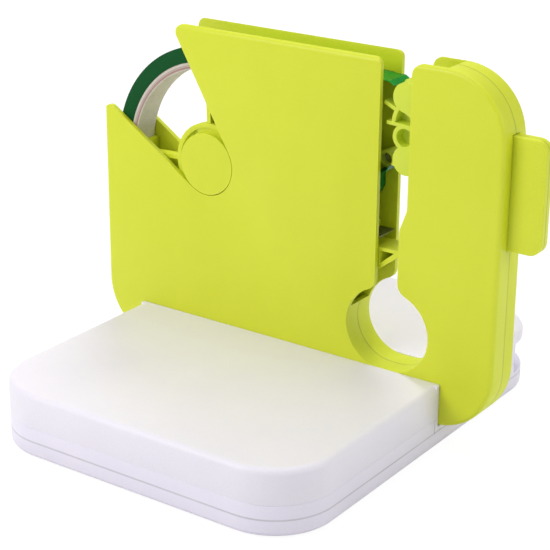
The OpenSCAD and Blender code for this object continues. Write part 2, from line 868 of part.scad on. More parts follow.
// Where the web leaves the roll, and where it bends down to the wheel's upper lobe
web_start = hub + (tape_r + set_gap) * heading(89);
lobe_top = [wheel_x, wheel_z] + lobe_reach * heading(lobe_a);
web_bend = lobe_top + [-13.8, 5.4];
web_end = [wheel_x, wheel_z] + (wheel_reach + move_gap) * heading(lobe_a + 6);

module tape_web()
  color("limegreen")
    strip([web_start, web_bend, web_bend + [2.4, -0.4], web_end - [1.9, -1.3], web_end]);

module tape_lead()
  color("limegreen")
    upright(tape_front_y + 0.7, tape_back_y - 0.1)
      translate(lobe_top)
        ring_piece(lobe_r + set_gap / 2, lobe_r + set_gap / 2 + tape_t, lobe_a, lead_half_a);

// The cut-off end that comes round under the pinch roller and hangs down inside
tail_r = roller_r + 0.8;
roller_at = [roller_x, roller_z];

module tape_tail()
  color("darkgreen")
    strip([roller_at + tail_r * heading(-10), roller_at + tail_r * heading(-40),
           roller_at + tail_r * heading(-75), roller_at + tail_r * heading(-110),
           roller_at + [-3.8, -6], roller_at + [-4.4, -9], roller_at + [-4.3, -12.3],
           roller_at + [-5.4, -15], roller_at + [-7.2, -17]]);

// ---- the wheel ----

// The round lobe and the wedge behind it, in the wheel's own plane
module lobe(inset) {
  translate([lobe_reach, 0])
    circle(lobe_r - inset);
  difference() {
    polygon([[inset / sin(lobe_half_a), 0],
             lobe_reach / cos(lobe_half_a) * heading(-lobe_half_a)
               + inset * heading(90 - lobe_half_a),
             lobe_reach / cos(lobe_half_a) * heading(lobe_half_a)
               - inset * heading(90 + lobe_half_a)]);
    translate([lobe_reach, -lobe_r])
      square(2 * lobe_r);
  }
}

// A radial fin from r0 to r1 at angle a
module fin(a, r0, r1, t)
  rotate(a)
    translate([r0, -t / 2])
      square([r1 - r0, t]);

// Places its children in the wheel's plane between depths y0 and y1
module on_wheel(y0, y1)
  upright(y0, y1)
    translate([wheel_x, wheel_z])
      children();

// A short lip that starts the neck of the bag on its way round a lobe
module lobe_lip()
  polygon([[lobe_reach, -lobe_r + 0.6],
           (lobe_reach + lobe_r + 0.3) * heading(-lip_a),
           [lobe_reach + lobe_r - 1, -1.5]]);

// One round cell and the arc of the barrel beside it, for the lobe at angle a
module wheel_cell(a) {
  ring_piece(barrel_r - barrel_wall, barrel_r, a + fin_short_a - 14, 15);
  translate(cell_reach * heading(a + cell_a))
    circle(cell_r);
}

module star_wheel()
  color("greenyellow")
    difference() {
      union() {
        on_wheel(mid_y - wheel_boss_half, mid_y + wheel_boss_half)
          circle(wheel_boss_r);
        on_wheel(mid_y - 1, mid_y + 1)
          circle(barrel_r - barrel_wall / 2);
        on_wheel(tape_front_y + 0.4, tape_back_y - 0.4)
          for (a = lobes) {
            wheel_cell(a);
            fin(a + fin_long_a, barrel_r - 0.5, lobe_reach + lobe_r + 0.2, fin_t);
            fin(a + fin_short_a, wheel_boss_r - 0.5, barrel_r + 2, fin_t);
          }
        on_wheel(tape_front_y, tape_back_y)
          for (a = lobes)
            rotate(a)
              difference() {
                union() {
                  lobe(0);
                  lobe_lip();
                }
                circle(wheel_boss_r - 0.2);
              }
      }
      for (y = [[tape_front_y - 1, mid_y - 1], [mid_y + 1, tape_back_y + 1]])
        on_wheel(y[0], y[1])
          for (a = lobes)
            translate(cell_reach * heading(a + cell_a))
              circle(cell_r - barrel_wall);
      on_wheel(mid_y + 1, tape_back_y + 1)
        for (a = lobes)
          rotate(a)
            difference() {
              lobe(1.2);
              circle(wheel_boss_r + 1.5);
            }
      on_wheel(tape_front_y - 1, tape_back_y + 1)
        circle(pin_r + run_gap);
    }

module wheel_axle()
  color("silver")
    rod_y(wheel_x, wheel_z, pin_r, in_front_y - pin_sink + 0.1, in_back_y + pin_sink - 0.1);

module wheel_washers()
  color("white")
    for (y = [in_front_y + 0.2, mid_y + wheel_boss_half + 0.2])
      difference() {
        rod_y(wheel_x, wheel_z, wheel_boss_r - 0.5, y, y + 1.1);
        rod_y(wheel_x, wheel_z, pin_r + run_gap, y - 1, y + 2);
      }

// The roller is open at the front: its post ends inside it
roller_wall = 1.2;
roller_post_r = roller_r - roller_wall - run_gap;
roller_front_y = mid_y - 1;

module pinch_roller()
  color("greenyellow")
    difference() {
      rod_y(roller_x, roller_z, roller_r, roller_front_y, in_back_y - move_gap);
      rod_y(roller_x, roller_z, roller_r - roller_wall, roller_front_y - 1, in_back_y + 1);
    }

module roller_post()
  color("silver")
    rod_y(roller_x, roller_z, roller_post_r, mid_y + 2, in_back_y + pin_sink - 0.1);

// ---- the press ----

module press_slide()
  color("yellowgreen") {
    upright(mid_y - tab_t / 2, mid_y + tab_t / 2) {
      difference() {
        pane(tab_in, casing_right + tab_out, tab_z, tab_z + tab_h);
        corner_cut(casing_right + tab_out, tab_z, -1, 1, tab_r);
        corner_cut(casing_right + tab_out, tab_z + tab_h, -1, -1, tab_r);
      }
      pane(pad_x + pad_t, tab_in + 1, stem_z, stem_top);
    }
    block([pad_x + pad_t, mid_y - nose_w / 2, stem_z],
          [pad_x + pad_t + 2, mid_y + nose_w / 2, stem_top]);
    block([stop_x, mid_y - nose_w / 2, spring_z - spring_r - wire_r - 1],
          [stop_x + stop_t, mid_y + nose_w / 2, stem_top]);
  }

module press_pad()
  color("dimgray")
    block([pad_x, mid_y - nose_w / 2, stem_z], [pad_x + pad_t, mid_y + nose_w / 2, stem_top]);

// Points of the return spring, 8 to a curl
press_steps = 8 * spring_turns;
press_sides = [for (i = [0:press_steps]) [0, cos(45 * i), sin(45 * i)]];
press_points = [for (i = [0:press_steps])
                  [spring_x0 + (spring_x1 - spring_x0) * i / press_steps, mid_y, spring_z]
                  + spring_r * press_sides[i]];
echo(press_spring_gap = least_gap(press_points, wire_r, 4));

module press_spring()
  color("silver")
    tube(press_points, press_sides, wire_r);

// ---- the gate and the knife ----

// The hollow three-cornered nose, in the X-Z plane
nose_tip = neck_right - move_gap - 0.1;
nose_left = slot_x - 1.2;

module nose_outline()
  polygon([[nose_left, nose_top], [nose_left, nose_top - nose_deep],
           [nose_tip, nose_top - 1.6], [nose_tip, nose_top]]);

// What is left of the nose inside its walls
module nose_pocket()
  polygon([[nose_left + gate_wall, nose_top - gate_wall],
           [nose_left + gate_wall, nose_top - nose_deep + 2.2 * gate_wall],
           [nose_tip - 2.4 * gate_wall, nose_top - gate_wall]]);

module gate_lever()
  color("greenyellow")
    difference() {
      union() {
        for (y = [mid_y - gate_half, mid_y + gate_half - 2.5])
          upright(y, y + 2.5) {
            translate([gate_x, gate_z])
              circle(gate_boss_r);
            polygon([[gate_x, gate_z - gate_boss_r], [gate_x + 0.5, gate_z + 2.6],
                     [gate_x + 7, nose_top], [nose_left + 1, nose_top],
                     [nose_left + 1, nose_top - 6], [gate_x + 7, nose_top - 4.5]]);
          }
        upright(mid_y - gate_half, mid_y + gate_half)
          pane(gate_x + 6.5, nose_left + 1, nose_top - 1, nose_top);
        upright(mid_y - gate_half, mid_y + gate_half)
          nose_outline();
      }
      upright(mid_y - gate_half - 1, mid_y + gate_half - gate_wall)
        nose_pocket();
      rod_y(gate_x, gate_z, pin_r + run_gap, in_front_y, in_back_y);
    }

module gate_pin()
  color("silver")
    rod_y(gate_x, gate_z, pin_r, in_front_y - pin_sink + 0.1, in_back_y + pin_sink - 0.1);

// Points of the gate's spring: a leg under the gate, the curls, a leg under its rib
gate_steps = 8 * gate_turns;
gate_width = 2 * (gate_half - 2.5) - 2 * gate_wire_r - 0.5;
gate_sides = [for (i = [0:gate_steps]) [-sin(45 * i), 0, -cos(45 * i)]];
gate_centre = [gate_x, mid_y - gate_width / 2, gate_z];
gate_points = [for (i = [0:gate_steps])
                 gate_centre + [0, gate_width * i / gate_steps, 0] + gate_coil_r * gate_sides[i]];
echo(gate_spring_gap = least_gap(gate_points, gate_wire_r, 4));

module gate_spring()
  color("silver")
    tube(concat([gate_points[0] + [gate_leg, 0, -0.3]], gate_points,
                [gate_points[gate_steps] + [-gate_leg, 0, -0.1]]),
         concat([gate_sides[0]], gate_sides, [gate_sides[gate_steps]]), gate_wire_r);

knife_half = mid_y - in_front_y - 1;
knife_screw_r = 1;
knife_screw_x = shelf_x0 + 5;
knife_screw_y = [mid_y - 3, mid_y + 3];
knife_tip = slot_x + knife_out;
tooth_count = 8;
tooth = 2 * knife_half / tooth_count;

// The knife's blank ends in a row of teeth towards the slot
module knife()
  color("silver")
    difference() {
      translate([0, 0, knife_z])
        linear_extrude(knife_t)
          polygon(concat([[shelf_x0 + 1, mid_y + knife_half], [shelf_x0 + 1, mid_y - knife_half]],
                         [for (i = [0:tooth_count - 1])
                            each [[knife_tip - 0.8, mid_y - knife_half + tooth * i],
                                  [knife_tip, mid_y - knife_half + tooth * (i + 0.5)]]],
                         [[knife_tip - 0.8, mid_y + knife_half]]));
      for (y = knife_screw_y)
        rod_z(knife_screw_x, y, knife_screw_r + 0.1, knife_z - 1, knife_z + 1);
    }

module knife_clamp()
  color("yellowgreen")
    difference() {
      block([shelf_x0, mid_y - knife_half, knife_z + knife_t],
            [shelf_x1 - clamp_back, mid_y + knife_half, knife_z + knife_t + clamp_t]);
      for (y = knife_screw_y)
        rod_z(knife_screw_x, y, knife_screw_r + 0.1, knife_z, knife_z + 9);
    }

module knife_screws()
  color("silver")
    for (y = knife_screw_y) {
      rod_z(knife_screw_x, y, knife_screw_r, knife_z - 1.3, knife_z + knife_t + clamp_t + 0.1);
      rod_z(knife_screw_x, y, 2, knife_z + knife_t + clamp_t, knife_z + knife_t + clamp_t + 1.2);
    }

front_shell();
rear_shell();
shell_screws();
casing_screws();
base_top();
base_tray();
base_screws();
ballast_plate();
rubber_feet();
tape_hub();
hub_cap();
tape_core();
tape_roll();
tape_web();
tape_lead();
tape_tail();
star_wheel();
wheel_axle();
wheel_washers();
pinch_roller();
roller_post();
press_slide();
press_pad();
press_spring();
gate_lever();
gate_pin();
gate_spring();
knife();
knife_clamp();
knife_screws();
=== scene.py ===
"""Bag neck sealer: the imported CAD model, dressed and lit as in its photograph.

The camera comes first, then the shader groups and the materials made of them. Copies of
the CAD nodes get rounded edges, the screws also cross recesses, and the springs smooth
wire. The floor, the world and the lamps come last.
"""

import math

import bpy
from mathutils import Matrix, Vector


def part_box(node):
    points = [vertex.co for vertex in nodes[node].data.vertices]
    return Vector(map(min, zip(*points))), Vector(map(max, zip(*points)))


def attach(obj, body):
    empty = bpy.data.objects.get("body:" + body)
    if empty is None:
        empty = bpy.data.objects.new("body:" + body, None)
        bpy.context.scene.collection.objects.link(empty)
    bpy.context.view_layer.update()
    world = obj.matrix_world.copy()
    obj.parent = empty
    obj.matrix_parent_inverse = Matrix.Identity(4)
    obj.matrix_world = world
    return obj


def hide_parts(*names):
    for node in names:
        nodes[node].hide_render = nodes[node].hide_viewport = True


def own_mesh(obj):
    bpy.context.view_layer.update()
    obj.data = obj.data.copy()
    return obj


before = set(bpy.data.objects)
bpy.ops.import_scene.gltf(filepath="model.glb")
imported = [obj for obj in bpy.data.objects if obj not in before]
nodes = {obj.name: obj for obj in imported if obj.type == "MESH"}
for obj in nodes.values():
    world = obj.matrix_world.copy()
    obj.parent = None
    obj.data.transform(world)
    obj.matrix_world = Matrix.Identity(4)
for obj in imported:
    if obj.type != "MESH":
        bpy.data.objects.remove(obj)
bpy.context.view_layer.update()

scene = bpy.context.scene
MM = 0.001

# The hub's axis, which the rings on the roll follow.
cap_low, cap_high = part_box("hub_cap")
HUB_X = (cap_low.x + cap_high.x) / 2
HUB_Z = (cap_low.z + cap_high.z) / 2

# The planes in which the base's two shells and the casing's two shells meet.
BASE_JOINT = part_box("base_top")[0].z
CASING_JOINT = (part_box("front_shell")[0].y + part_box("rear_shell")[1].y) / 2

# How far the push tab travels.
PRESS_TRAVEL = 8 * MM


# ---- camera ----

# Turn, tilt and roll in degrees, place in millimetres, and the focal length in pixels of a
# picture as wide as the photograph.
VIEW_ANGLES = (35.135, 21.071, 0.385)
VIEW_PLACE = (351.9, -501.1, 293.2)
VIEW_FOCAL = 1667.5
PHOTO_WIDTH = 550


def make_camera():
    """The photograph's viewpoint, as turn, tilt and roll about the casing."""
    turn, tilt, roll = (math.radians(angle) for angle in VIEW_ANGLES)
    level = math.cos(tilt)
    back = Vector((math.sin(turn) * level, -math.cos(turn) * level, math.sin(tilt)))
    right = (-back).cross(Vector((0, 0, 1))).normalized()
    up = right.cross(-back)
    rolled_right = right * math.cos(roll) + up * math.sin(roll)
    rolled_up = -right * math.sin(roll) + up * math.cos(roll)
    axes = Matrix((rolled_right, rolled_up, back)).transposed().to_4x4()
    data = bpy.data.cameras.new("camera")
    data.sensor_width = 36
    data.lens = VIEW_FOCAL / PHOTO_WIDTH * data.sensor_width
    data.clip_start = 0.02
    data.clip_end = 40
    camera = bpy.data.objects.new("camera", data)
    camera.matrix_world = Matrix.Translation(Vector(VIEW_PLACE) * MM) @ axes
    scene.collection.objects.link(camera)
    scene.camera = camera


# ---- words for building node trees ----

# Where a colour mix has its share, its two colours and its result.
MIX_SHARE = 0
MIX_FIRST = 6
MIX_SECOND = 7
MIX_RESULT = 2


class Sheet:
    """A node tree, with one short word for each kind of node that is used often."""

    def __init__(self, tree):
        self.tree = tree

    def add(self, kind, **settings):
        made = self.tree.nodes.new(kind)
        for key, value in settings.items():
            setattr(made, key, value)
        return made

    def link(self, out, into):
        self.tree.links.new(out, into)

    def fill(self, socket, value):
        if isinstance(value, bpy.types.NodeSocket):
            self.link(value, socket)
        else:
            socket.default_value = value

    def maths(self, what, a, b=0.0):
        made = self.add("ShaderNodeMath", operation=what)
        self.fill(made.inputs[0], a)
        self.fill(made.inputs[1], b)
        return made.outputs[0]

    def vector(self, what, a, b=(0, 0, 0)):
        made = self.add("ShaderNodeVectorMath", operation=what)
        self.fill(made.inputs[0], a)
        self.fill(made.inputs[1], b)
        return made.outputs["Value" if what in ("LENGTH", "DOT_PRODUCT") else "Vector"]

    def noise(self, where, scale, detail, rough):
        made = self.add("ShaderNodeTexNoise")
        self.fill(made.inputs["Vector"], where)
        made.inputs["Scale"].default_value = scale
        made.inputs["Detail"].default_value = detail
        made.inputs["Roughness"].default_value = rough
        return made.outputs["Fac"]

    def rings(self, distance, scale):
        """Noise that changes only with distance: thin rings of uneven tone."""
        made = self.add("ShaderNodeTexNoise", noise_dimensions="1D")
        self.fill(made.inputs["W"], distance)
        made.inputs["Scale"].default_value = scale
        made.inputs["Detail"].default_value = 2.0
        return made.outputs["Fac"]

    def remap(self, value, old, new):
        """Stretches one range of values to another; both are said as (low, high)."""
        made = self.add("ShaderNodeMapRange")
        self.fill(made.inputs["Value"], value)
        for name, number in zip(("From Min", "From Max", "To Min", "To Max"), old + new):
            made.inputs[name].default_value = number
        return made.outputs["Result"]

    def mix(self, share, a, b, how="MIX"):
        made = self.add("ShaderNodeMix", data_type="RGBA", blend_type=how)
        self.fill(made.inputs[MIX_SHARE], share)
        self.fill(made.inputs[MIX_FIRST], a)
        self.fill(made.inputs[MIX_SECOND], b)
        return made.outputs[MIX_RESULT]

    def bump(self, height, strength, distance, normal=None):
        made = self.add("ShaderNodeBump")
        self.fill(made.inputs["Strength"], strength)
        made.inputs["Distance"].default_value = distance
        self.fill(made.inputs["Height"], height)
        if normal is not None:
            self.link(normal, made.inputs["Normal"])
        return made.outputs["Normal"]


SOCKETS = {"v": "NodeSocketVector", "c": "NodeSocketColor", "f": "NodeSocketFloat"}


def new_group(name, takes, gives):
    """A shader group; takes and gives say each socket as kind:name."""
    tree = bpy.data.node_groups.new(name, "ShaderNodeTree")
    for way, said in (("INPUT", takes), ("OUTPUT", gives)):
        for word in said:
            kind, label = word.split(":")
            tree.interface.new_socket(label, in_out=way, socket_type=SOCKETS[kind])
    s = Sheet(tree)
    return s, s.add("NodeGroupInput").outputs, s.add("NodeGroupOutput").inputs


def linear(rgb):
    """An 8-bit screen colour as the shader's linear colour."""
    shares = [c / 255 for c in rgb]
    out = [v / 12.92 if v <= 0.04045 else ((v + 0.055) / 1.055) ** 2.4 for v in shares]
    return (*out, 1.0)


def shaded(rgb, share):
    """A colour brought down to a share of itself."""
    return tuple(share * c for c in rgb)


def paler(rgb, step):
    """A colour raised by a step of the 8-bit scale."""
    return tuple(min(255, c + step) for c in rgb)


def grey(tone):
    """A grey as the shader's linear colour."""
    return (tone, tone, tone, 1)


def new_material(name):
    """A material with its sheet, its shader's sockets and the place on the object."""
    material = bpy.data.materials.new(name)
    material.use_nodes = True
    sheet = Sheet(material.node_tree)
    shader = material.node_tree.nodes["Principled BSDF"].inputs
    where = sheet.add("ShaderNodeTexCoord").outputs["Object"]
    return material, sheet, shader, where


def place_group(s, tree, **given):
    """Puts a group into a material; underscores in the names stand for spaces."""
    group = s.add("ShaderNodeGroup", node_tree=tree)
    for name, value in given.items():
        s.fill(group.inputs[name.replace("_", " ")], value)
    return group.outputs


# ---- shader groups ----


def moulded_group():
    """Moulded plastic: cloudy pigment with flow streaks, a fine grain and faint scuffs."""
    s, given, gives = new_group(
        "moulded_surface", ("v:Where", "c:Colour", "c:Shade", "f:Roughness", "f:Grain"),
        ("c:Colour", "f:Roughness", "v:Normal"))
    where = given["Where"]
    cloud = s.noise(where, 22, 4, 0.6)
    flow = s.noise(s.vector("MULTIPLY", where, (1, 1, 0.18)), 60, 3, 0.5)
    grain = s.noise(where, 1900, 2, 0.6)
    fine = s.noise(where, 5200, 1, 0.5)
    places = s.noise(where, 35, 2, 0.5)
    lines = s.noise(s.vector("MULTIPLY", where, (0.25, 1, 1.3)), 420, 2, 0.5)
    scuff = s.maths("MULTIPLY", s.remap(lines, (0.66, 0.74), (0, 1)),
                    s.remap(places, (0.52, 0.66), (0, 1)))
    tone = s.maths("ADD", s.remap(cloud, (0.3, 0.7), (0, 0.6)),
                   s.remap(flow, (0.3, 0.7), (0, 0.3)))
    colour = s.mix(tone, given["Colour"], given["Shade"])
    speck = s.remap(grain, (0.3, 0.7), (0.975, 1.02))
    s.link(s.mix(1.0, colour, speck, "MULTIPLY"), gives["Colour"])
    rough = s.maths("ADD", given["Roughness"], s.remap(grain, (0.3, 0.7), (-0.05, 0.05)))
    rough = s.maths("ADD", rough, s.remap(cloud, (0.3, 0.7), (-0.03, 0.04)))
    s.link(s.maths("SUBTRACT", rough, s.maths("MULTIPLY", scuff, 0.08)), gives["Roughness"])
    height = s.maths("ADD", grain, s.maths("MULTIPLY", fine, 0.4))
    height = s.maths("MULTIPLY", height, given["Grain"])
    height = s.maths("SUBTRACT", height, s.maths("MULTIPLY", scuff, 0.15))
    s.link(s.bump(height, 0.35, 0.04 * MM), gives["Normal"])
    return s.tree


def worn_edge_group():
    """Edges rubbed by hands and cloths: a mask that is 1 on an edge and breaks up along it."""
    s, given, gives = new_group("worn_edges", ("v:Where", "f:Width"), ("f:Mask",))
    rounded = s.add("ShaderNodeBevel", samples=4)
    s.link(given["Width"], rounded.inputs["Radius"])
    true_normal = s.add("ShaderNodeNewGeometry").outputs["Normal"]
    meet = s.vector("DOT_PRODUCT", rounded.outputs["Normal"], true_normal)
    edge = s.remap(meet, (0.995, 0.93), (0, 1))
    patch = s.remap(s.noise(given["Where"], 130, 3, 0.6), (0.4, 0.62), (0.25, 1))
    s.link(s.maths("MULTIPLY", edge, patch), gives["Mask"])
    return s.tree


def joint_group():
    """Dust and shadow in the joint between two shells: a thin line along a plane."""
    s, given, gives = new_group("joint_line", ("v:Where", "v:Across", "f:Place"), ("f:Mask",))
    along = s.vector("DOT_PRODUCT", given["Where"], given["Across"])
    off = s.maths("ABSOLUTE", s.maths("SUBTRACT", along, given["Place"]))
    line = s.remap(off, (0.2 * MM, 0.45 * MM), (1, 0))
    patch = s.remap(s.noise(given["Where"], 70, 3, 0.6), (0.35, 0.65), (0.75, 1))
    s.link(s.maths("MULTIPLY", line, patch), gives["Mask"])
    return s.tree


def wound_group():
    """What is wound about the hub: uneven rings on the two sides, waves on the outside."""
    s, given, gives = new_group(
        "wound_layers", ("v:Where", "f:Fineness"), ("f:Rings", "f:Side", "f:Wave"))
    off = s.vector("SUBTRACT", given["Where"], (HUB_X, 0, HUB_Z))
    radius = s.vector("LENGTH", s.vector("MULTIPLY", off, (1, 0, 1)))
    fine = s.rings(s.maths("MULTIPLY", radius, given["Fineness"]), 1.0)
    broad = s.rings(radius, 700)
    both = s.maths("ADD", s.remap(fine, (0.35, 0.65), (0, 0.6)),
                   s.remap(broad, (0.35, 0.65), (0, 0.4)))
    s.link(both, gives["Rings"])
    apart = s.add("ShaderNodeSeparateXYZ")
    s.link(s.add("ShaderNodeNewGeometry").outputs["Normal"], apart.inputs[0])
    facing = s.maths("ABSOLUTE", apart.outputs["Y"])
    s.link(s.remap(facing, (0.6, 0.9), (0, 1)), gives["Side"])
    wave = s.noise(s.vector("MULTIPLY", given["Where"], (1, 0.25, 1)), 160, 3, 0.5)
    s.link(wave, gives["Wave"])
    return s.tree


def film_group():
    """One layer of stretched film: fine lines along it over soft clouds."""
    s, given, gives = new_group("film_lines", ("v:Where",), ("f:Lines", "f:Cloud"))
    long_way = s.vector("MULTIPLY", given["Where"], (0.06, 1, 0.06))
    s.link(s.noise(long_way, 900, 2, 0.5), gives["Lines"])
    s.link(s.noise(given["Where"], 90, 3, 0.55), gives["Cloud"])
    return s.tree


def steel_group():
    """Drawn or turned steel: faint stains, and lines across the axis where Lay is large."""
    s, given, gives = new_group(
        "drawn_steel", ("v:Where", "v:Lay", "f:Roughness"),
        ("f:Stain", "f:Roughness", "v:Normal"))
    lines = s.noise(s.vector("MULTIPLY", given["Where"], given["Lay"]), 260, 3, 0.6)
    stain = s.noise(given["Where"], 120, 3, 0.6)
    s.link(s.remap(stain, (0.35, 0.7), (0, 0.5)), gives["Stain"])
    both = s.maths("ADD", s.remap(lines, (0.3, 0.7), (-0.08, 0.1)),
                   s.remap(stain, (0.3, 0.7), (0, 0.08)))
    s.link(s.maths("ADD", both, given["Roughness"]), gives["Roughness"])
    s.link(s.bump(lines, 0.3, 0.05 * MM), gives["Normal"])
    return s.tree


def rubber_group():
    """Rubber: a dull fine grain with worn clouds."""
    s, given, gives = new_group(
        "rubber_skin", ("v:Where",), ("f:Cloud", "f:Roughness", "v:Normal"))
    s.link(s.remap(s.noise(given["Where"], 160, 4, 0.6), (0.3, 0.7), (0, 1)), gives["Cloud"])
    grain = s.noise(given["Where"], 2600, 2, 0.6)
    s.link(s.remap(grain, (0.3, 0.7), (0.7, 0.92)), gives["Roughness"])
    s.link(s.bump(grain, 0.5, 0.06 * MM), gives["Normal"])
    return s.tree


# ---- materials ----


def moulded(name, colour, shade, rough, grain, scatter=0.0, wear=0.35, joint=None):
    """Moulded plastic, paler on its edges; joint gives a dust and painted-shade line as
    (across, place).
    """
    material, s, shader, where = new_material(name)
    skin = place_group(s, MOULDED, Where=where, Colour=linear(colour), Shade=linear(shade),
                       Roughness=rough, Grain=grain)
    edge = place_group(s, WORN_EDGES, Where=where, Width=0.8 * MM)["Mask"]
    bare = linear(paler(colour, 14))
    worn = s.maths("MULTIPLY", edge, wear)
    painted = s.mix(worn, skin["Colour"], bare)
    if joint:
        across, place = joint
        line = place_group(s, JOINT_LINE, Where=where, Across=across, Place=place)["Mask"]
        # The joint line's darker colour is seam dust together with painted shade of the groove
        # between the shells.
        joint_dust_and_shade = linear(shaded(colour, 0.68))
        painted = s.mix(s.maths("MULTIPLY", line, 0.55), painted, joint_dust_and_shade)
    s.link(painted, shader["Base Color"])
    s.link(s.maths("SUBTRACT", skin["Roughness"], s.maths("MULTIPLY", edge, 0.1)),
           shader["Roughness"])
    s.link(skin["Normal"], shader["Normal"])
    shader["IOR"].default_value = 1.5
    if scatter:
        shader["Subsurface Weight"].default_value = scatter
        shader["Subsurface Radius"].default_value = (3 * MM, 3 * MM, 1 * MM)
        shader["Subsurface Scale"].default_value = 1.0
    return material


def wound_tape(name, colour, dark):
    """Tape wound in layers: faint rings on its sides and a glossy, slightly wavy outside."""
    material, s, shader, where = new_material(name)
    wound = place_group(s, WOUND, Where=where, Fineness=4200.0)
    side_colour = s.mix(s.maths("MULTIPLY", wound["Rings"], 0.8), linear(colour), linear(dark))
    wave_tone = s.remap(wound["Wave"], (0.35, 0.65), (0, 0.5))
    face_colour = s.mix(wave_tone, linear(colour), linear(dark))
    s.link(s.mix(wound["Side"], face_colour, side_colour), shader["Base Color"])
    s.link(s.remap(wound["Side"], (0, 1), (0.3, 0.62)), shader["Roughness"])
    ridges = s.bump(s.maths("MULTIPLY", wound["Rings"], wound["Side"]), 0.3, 0.1 * MM)
    s.link(s.bump(wound["Wave"], 0.25, 0.3 * MM, ridges), shader["Normal"])
    shader["Specular IOR Level"].default_value = 0.15
    return material


def single_tape(name, colour, dark):
    """One layer of film: smooth and glossy, with stretch lines along it."""
    material, s, shader, where = new_material(name)
    film = place_group(s, FILM, Where=where)
    tone = s.maths("ADD", s.remap(film["Lines"], (0.35, 0.65), (0, 0.5)),
                   s.remap(film["Cloud"], (0.3, 0.7), (0, 0.5)))
    s.link(s.mix(tone, linear(colour), linear(dark)), shader["Base Color"])
    s.link(s.remap(film["Cloud"], (0.3, 0.7), (0.2, 0.34)), shader["Roughness"])
    s.link(s.bump(film["Lines"], 0.3, 0.08 * MM), shader["Normal"])
    shader["Specular IOR Level"].default_value = 0.2
    return material


def board(name, colour, dark, line):
    """Grey board wound from plies: reddish glue lines on its sides, fibres all over."""
    material, s, shader, where = new_material(name)
    wound = place_group(s, WOUND, Where=where, Fineness=2600.0)
    fibre = s.noise(s.vector("MULTIPLY", where, (1, 0.3, 1)), 1300, 4, 0.65)
    blot = s.noise(where, 140, 3, 0.6)
    tone = s.maths("ADD", s.remap(fibre, (0.3, 0.7), (0, 0.6)),
                   s.remap(blot, (0.3, 0.7), (0, 0.4)))
    ply = s.maths("MULTIPLY", s.remap(wound["Rings"], (0.45, 0.7), (0, 0.75)), wound["Side"])
    base = s.mix(tone, linear(colour), linear(dark))
    s.link(s.mix(ply, base, linear(line)), shader["Base Color"])
    s.link(s.remap(fibre, (0.3, 0.7), (0.8, 0.92)), shader["Roughness"])
    shader["Specular IOR Level"].default_value = 0.25
    height = s.maths("ADD", fibre, s.maths("MULTIPLY", wound["Rings"], 0.8))
    s.link(s.bump(height, 0.5, 0.15 * MM), shader["Normal"])
    return material


def steel(name, colour, rough, lay):
    """Steel with lines across the axis where lay is large, and bright edges."""
    material, s, shader, where = new_material(name)
    skin = place_group(s, STEEL, Where=where, Lay=lay, Roughness=rough)
    edge = place_group(s, WORN_EDGES, Where=where, Width=0.2 * MM)["Mask"]
    plain = s.mix(skin["Stain"], linear(colour), linear(shaded(colour, 0.72)))
    bright = linear(paler(colour, 30))
    s.link(s.mix(s.maths("MULTIPLY", edge, 0.5), plain, bright), shader["Base Color"])
    shader["Metallic"].default_value = 1.0
    s.link(skin["Roughness"], shader["Roughness"])
    s.link(skin["Normal"], shader["Normal"])
    return material


def rubber(name, colour, dark):
    """Dull rubber, worn to its dark colour in places."""
    material, s, shader, where = new_material(name)
    skin = place_group(s, RUBBER, Where=where)
    s.link(s.mix(skin["Cloud"], linear(colour), linear(dark)), shader["Base Color"])
    s.link(skin["Roughness"], shader["Roughness"])
    s.link(skin["Normal"], shader["Normal"])
    shader["Specular IOR Level"].default_value = 0.3
    return material


# ---- shaping ----

# Corners nearer than this are one corner; faces nearer in angle than this are one face.
SAME_PLACE = 0.002 * MM
SAME_FACE = math.radians(0.6)
# Edges sharper than the first angle get rounded, and sharper than the second stay creased.
SHARP_EDGE = math.radians(32)
CREASE = math.radians(28)
# Two triangles of a wire's side become one quad up to this angle and skew, in radians.
WIRE_QUAD = 1.2
# The tip of a screwdriver's cross is this share of its top.
TIP_TAPER = 0.55


def dress(piece, material):
    """Gives all faces of a piece one material."""
    piece.data.materials.clear()
    piece.data.materials.append(material)
    for face in piece.data.polygons:
        face.material_index = 0


def select_only(*pieces):
    """Selects these pieces and nothing else, the first one as the active one."""
    bpy.ops.object.select_all(action="DESELECT")
    for piece in pieces:
        piece.hide_set(False)
        piece.select_set(True)
    bpy.context.view_layer.objects.active = pieces[0]


def apply_modifier(piece, kind, **settings):
    """Adds one modifier to a piece and makes its result the piece's own shape."""
    modifier = piece.modifiers.new("finish", kind)
    for key, value in settings.items():
        setattr(modifier, key, value)
    select_only(piece)
    bpy.ops.object.modifier_apply(modifier="finish")


def merged_copy(node, flat=True):
    """A copy of a CAD node with its corners joined and, if flat, its flat faces made whole."""
    data = nodes[node].data.copy()
    piece = bpy.data.objects.new(node + "_shape", data)
    scene.collection.objects.link(piece)
    data.materials.clear()
    select_only(piece)
    bpy.ops.object.mode_set(mode="EDIT")
    bpy.ops.mesh.select_all(action="SELECT")
    bpy.ops.mesh.mark_sharp(clear=True)
    bpy.ops.mesh.remove_doubles(threshold=SAME_PLACE)
    if flat:
        bpy.ops.mesh.dissolve_limited(angle_limit=SAME_FACE, delimit=set())
    bpy.ops.mesh.normals_make_consistent(inside=False)
    bpy.ops.object.mode_set(mode="OBJECT")
    return piece


def soften(piece, width, segments):
    """Rounds the edges of a piece and shades it smooth across them."""
    apply_modifier(piece, "BEVEL", width=width, segments=segments, limit_method="ANGLE",
                   angle_limit=SHARP_EDGE, miter_outer="MITER_ARC")
    bpy.ops.object.shade_smooth_by_angle(angle=CREASE)


def put_in_place(piece, node, body, material):
    """Shows a dressed piece instead of its node, on the body that carries the node."""
    dress(piece, material)
    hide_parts(node)
    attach(piece, body)


